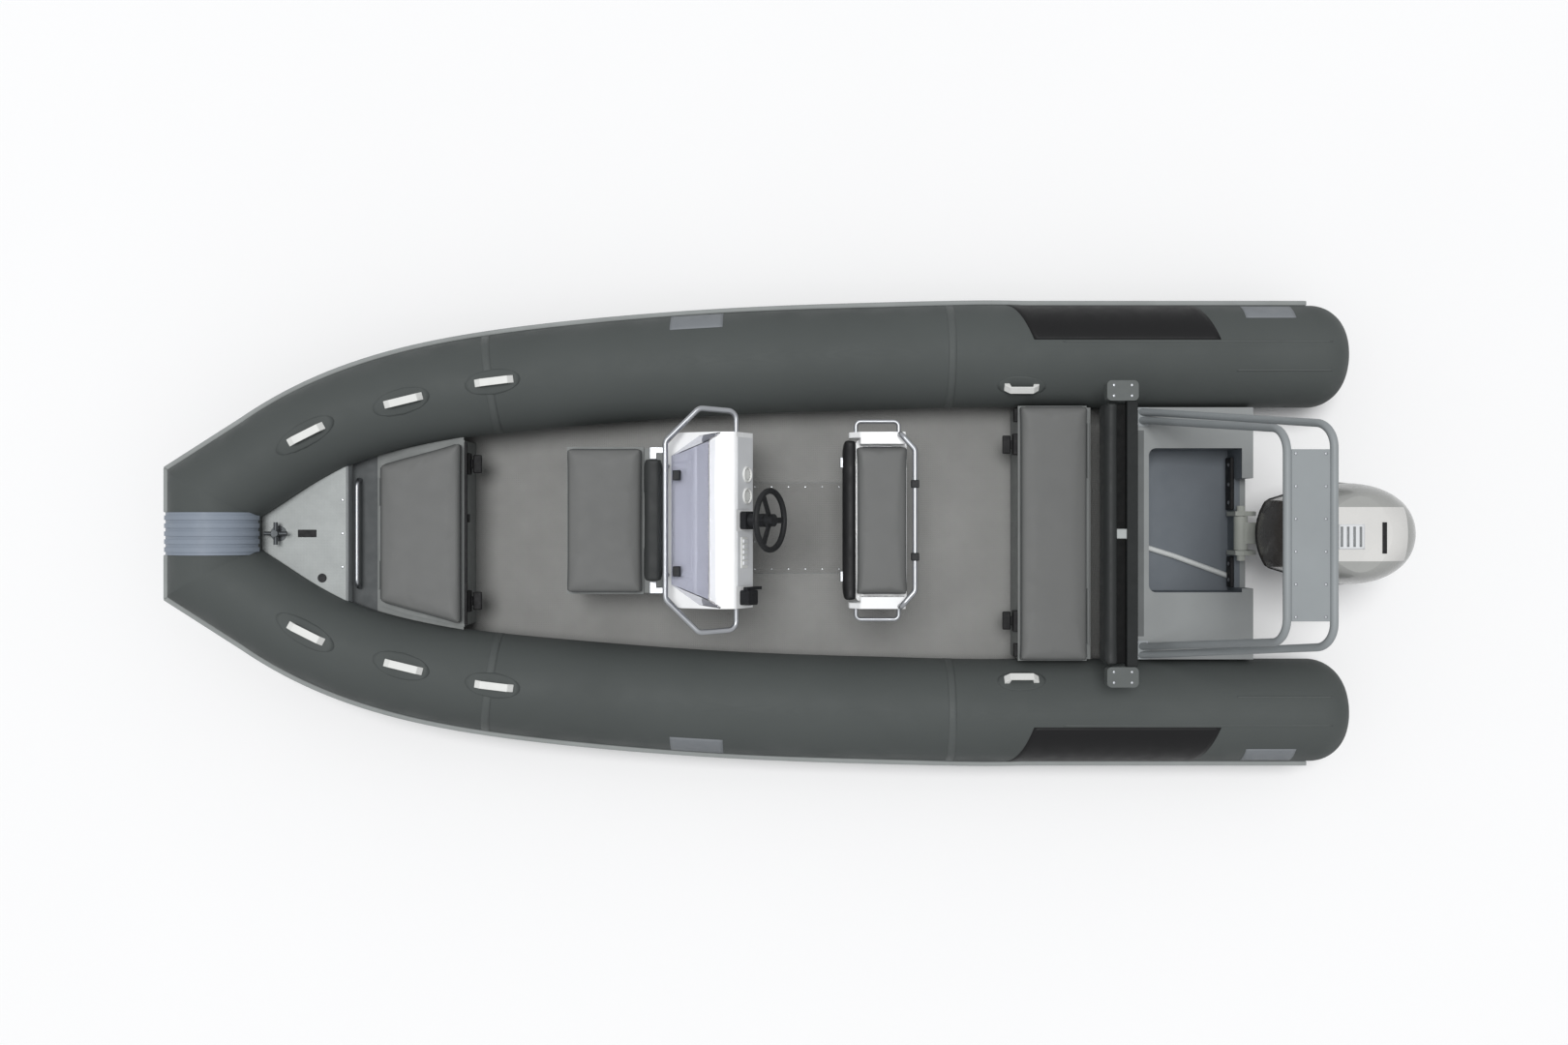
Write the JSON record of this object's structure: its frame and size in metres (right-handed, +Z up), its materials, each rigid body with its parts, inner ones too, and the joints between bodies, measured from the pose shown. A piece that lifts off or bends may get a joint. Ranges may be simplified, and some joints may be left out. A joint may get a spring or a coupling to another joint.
{
  "type": "rigid inflatable boat",
  "caption": "Open rigid inflatable boat with a vee hull, blunt inflated collar, offset console, locker seats, raked stern arch and tilting outboard.",
  "frame": {"origin": "amidships on the centreline at the waterline", "axes": "+X to the bow, +Y to port, +Z up"},
  "size_m": [6.6063, 2.5598, 2.484],
  "materials": {
    "collar_fabric": "matt coated fabric",
    "rubber_grey": "matt",
    "rubber_black": "matt",
    "hull_paint": "satin",
    "deck_mat": "fine non-slip",
    "alloy": "brushed",
    "gelcoat": "gloss",
    "vinyl_grey": "soft vinyl",
    "vinyl_dark": "soft vinyl",
    "stainless": "polished",
    "tint": "clear tint",
    "black_plastic": "satin",
    "engine_grey": "satin",
    "cowl_white": "gloss",
    "cast": "cast",
    "bronze": "polished"
  },
  "bodies": {
    "boat": {"tube_port": "collar_fabric", "tube_starboard": "collar_fabric", "tube_bow": "collar_fabric", "rub_strake": "rubber_grey", "bow_pad": "rubber_grey", "grab_handles": "rubber_grey", "hull": "hull_paint", "deck": "deck_mat", "deck_hatch": "deck_mat", "bow_deck": "alloy", "bow_bitt": "stainless", "bow_eye": "stainless", "stern_eyes": "stainless", "bow_locker": "alloy", "bow_rail": "stainless", "bench_box": "gelcoat", "latches": "rubber_black", "stern_block": "hull_paint", "well_hose": "rubber_grey", "bench_backrest": "vinyl_dark", "backrest_frame": "black_plastic", "backrest_ends": "alloy", "arch_hoops": "alloy", "arch_feet": "alloy", "arch_plate": "alloy", "console": "gelcoat", "windscreen": "tint", "console_rail": "stainless", "helm_boss": "black_plastic", "throttle": "black_plastic", "front_seat_box": "gelcoat", "front_backrest": "vinyl_dark", "backrest_brackets": "stainless", "helm_pedestal": "gelcoat", "helm_cushion": "vinyl_grey", "helm_bolster": "vinyl_dark", "helm_sides": "gelcoat", "helm_rails": "stainless", "rail_clamps": "black_plastic", "clamp_bracket": "engine_grey"},
    "bow_lid": {"bow_lid": "alloy", "bow_cushion": "vinyl_grey"},
    "bench_lid": {"bench_lid": "gelcoat", "bench_cushion": "vinyl_grey"},
    "front_seat_lid": {"front_seat_lid": "gelcoat", "front_cushion": "vinyl_grey"},
    "steering_wheel": {"steering_wheel": "black_plastic"},
    "swivel": {"swivel_bracket": "engine_grey"},
    "engine": {"yoke": "engine_grey", "midsection": "engine_grey", "gearcase": "engine_grey", "lower_cowl": "engine_grey", "upper_cowl": "cowl_white", "powerhead": "cast"},
    "propeller": {"propeller": "bronze"}
  },
  "joints": [
    {"name": "bow_lid_hinge", "type": "hinge", "parent": "boat", "child": "bow_lid", "pos_m": [2.2, 0, 0.4634], "axis": [0, 1, 0], "range_deg": [0, 80]},
    {"name": "bench_lid_hinge", "type": "hinge", "parent": "boat", "child": "bench_lid", "pos_m": [-1.655, 0, 0.4484], "axis": [0, -1, 0], "range_deg": [0, 65]},
    {"name": "front_seat_lid_hinge", "type": "hinge", "parent": "boat", "child": "front_seat_lid", "pos_m": [0.745, -0.07, 0.5334], "axis": [0, -1, 0], "range_deg": [0, 65]},
    {"name": "outboard_tilt", "type": "hinge", "parent": "boat", "child": "swivel", "pos_m": [-2.5, 0, 0.4], "axis": [0, 1, 0], "range_deg": [0, 66]},
    {"name": "outboard_steer", "type": "hinge", "parent": "swivel", "child": "engine", "pos_m": [-2.655, 0, 0.2], "axis": [0, 0, 1], "range_deg": [-30, 30]},
    {"name": "steering_wheel_turn", "type": "hinge", "parent": "boat", "child": "steering_wheel", "pos_m": [0.07003, -0.07, 1.00037], "axis": [-0.8831, 0, 0.4692], "range_deg": [-900, 900]},
    {"name": "propeller_spin", "type": "hinge", "parent": "engine", "child": "propeller", "pos_m": [-3.1, 0, -0.535], "axis": [1, 0, 0], "continuous": true}
  ],
  "couplings": [
    {"joint": "steering_wheel_turn", "follows": "outboard_steer", "ratio": -30}
  ]
}
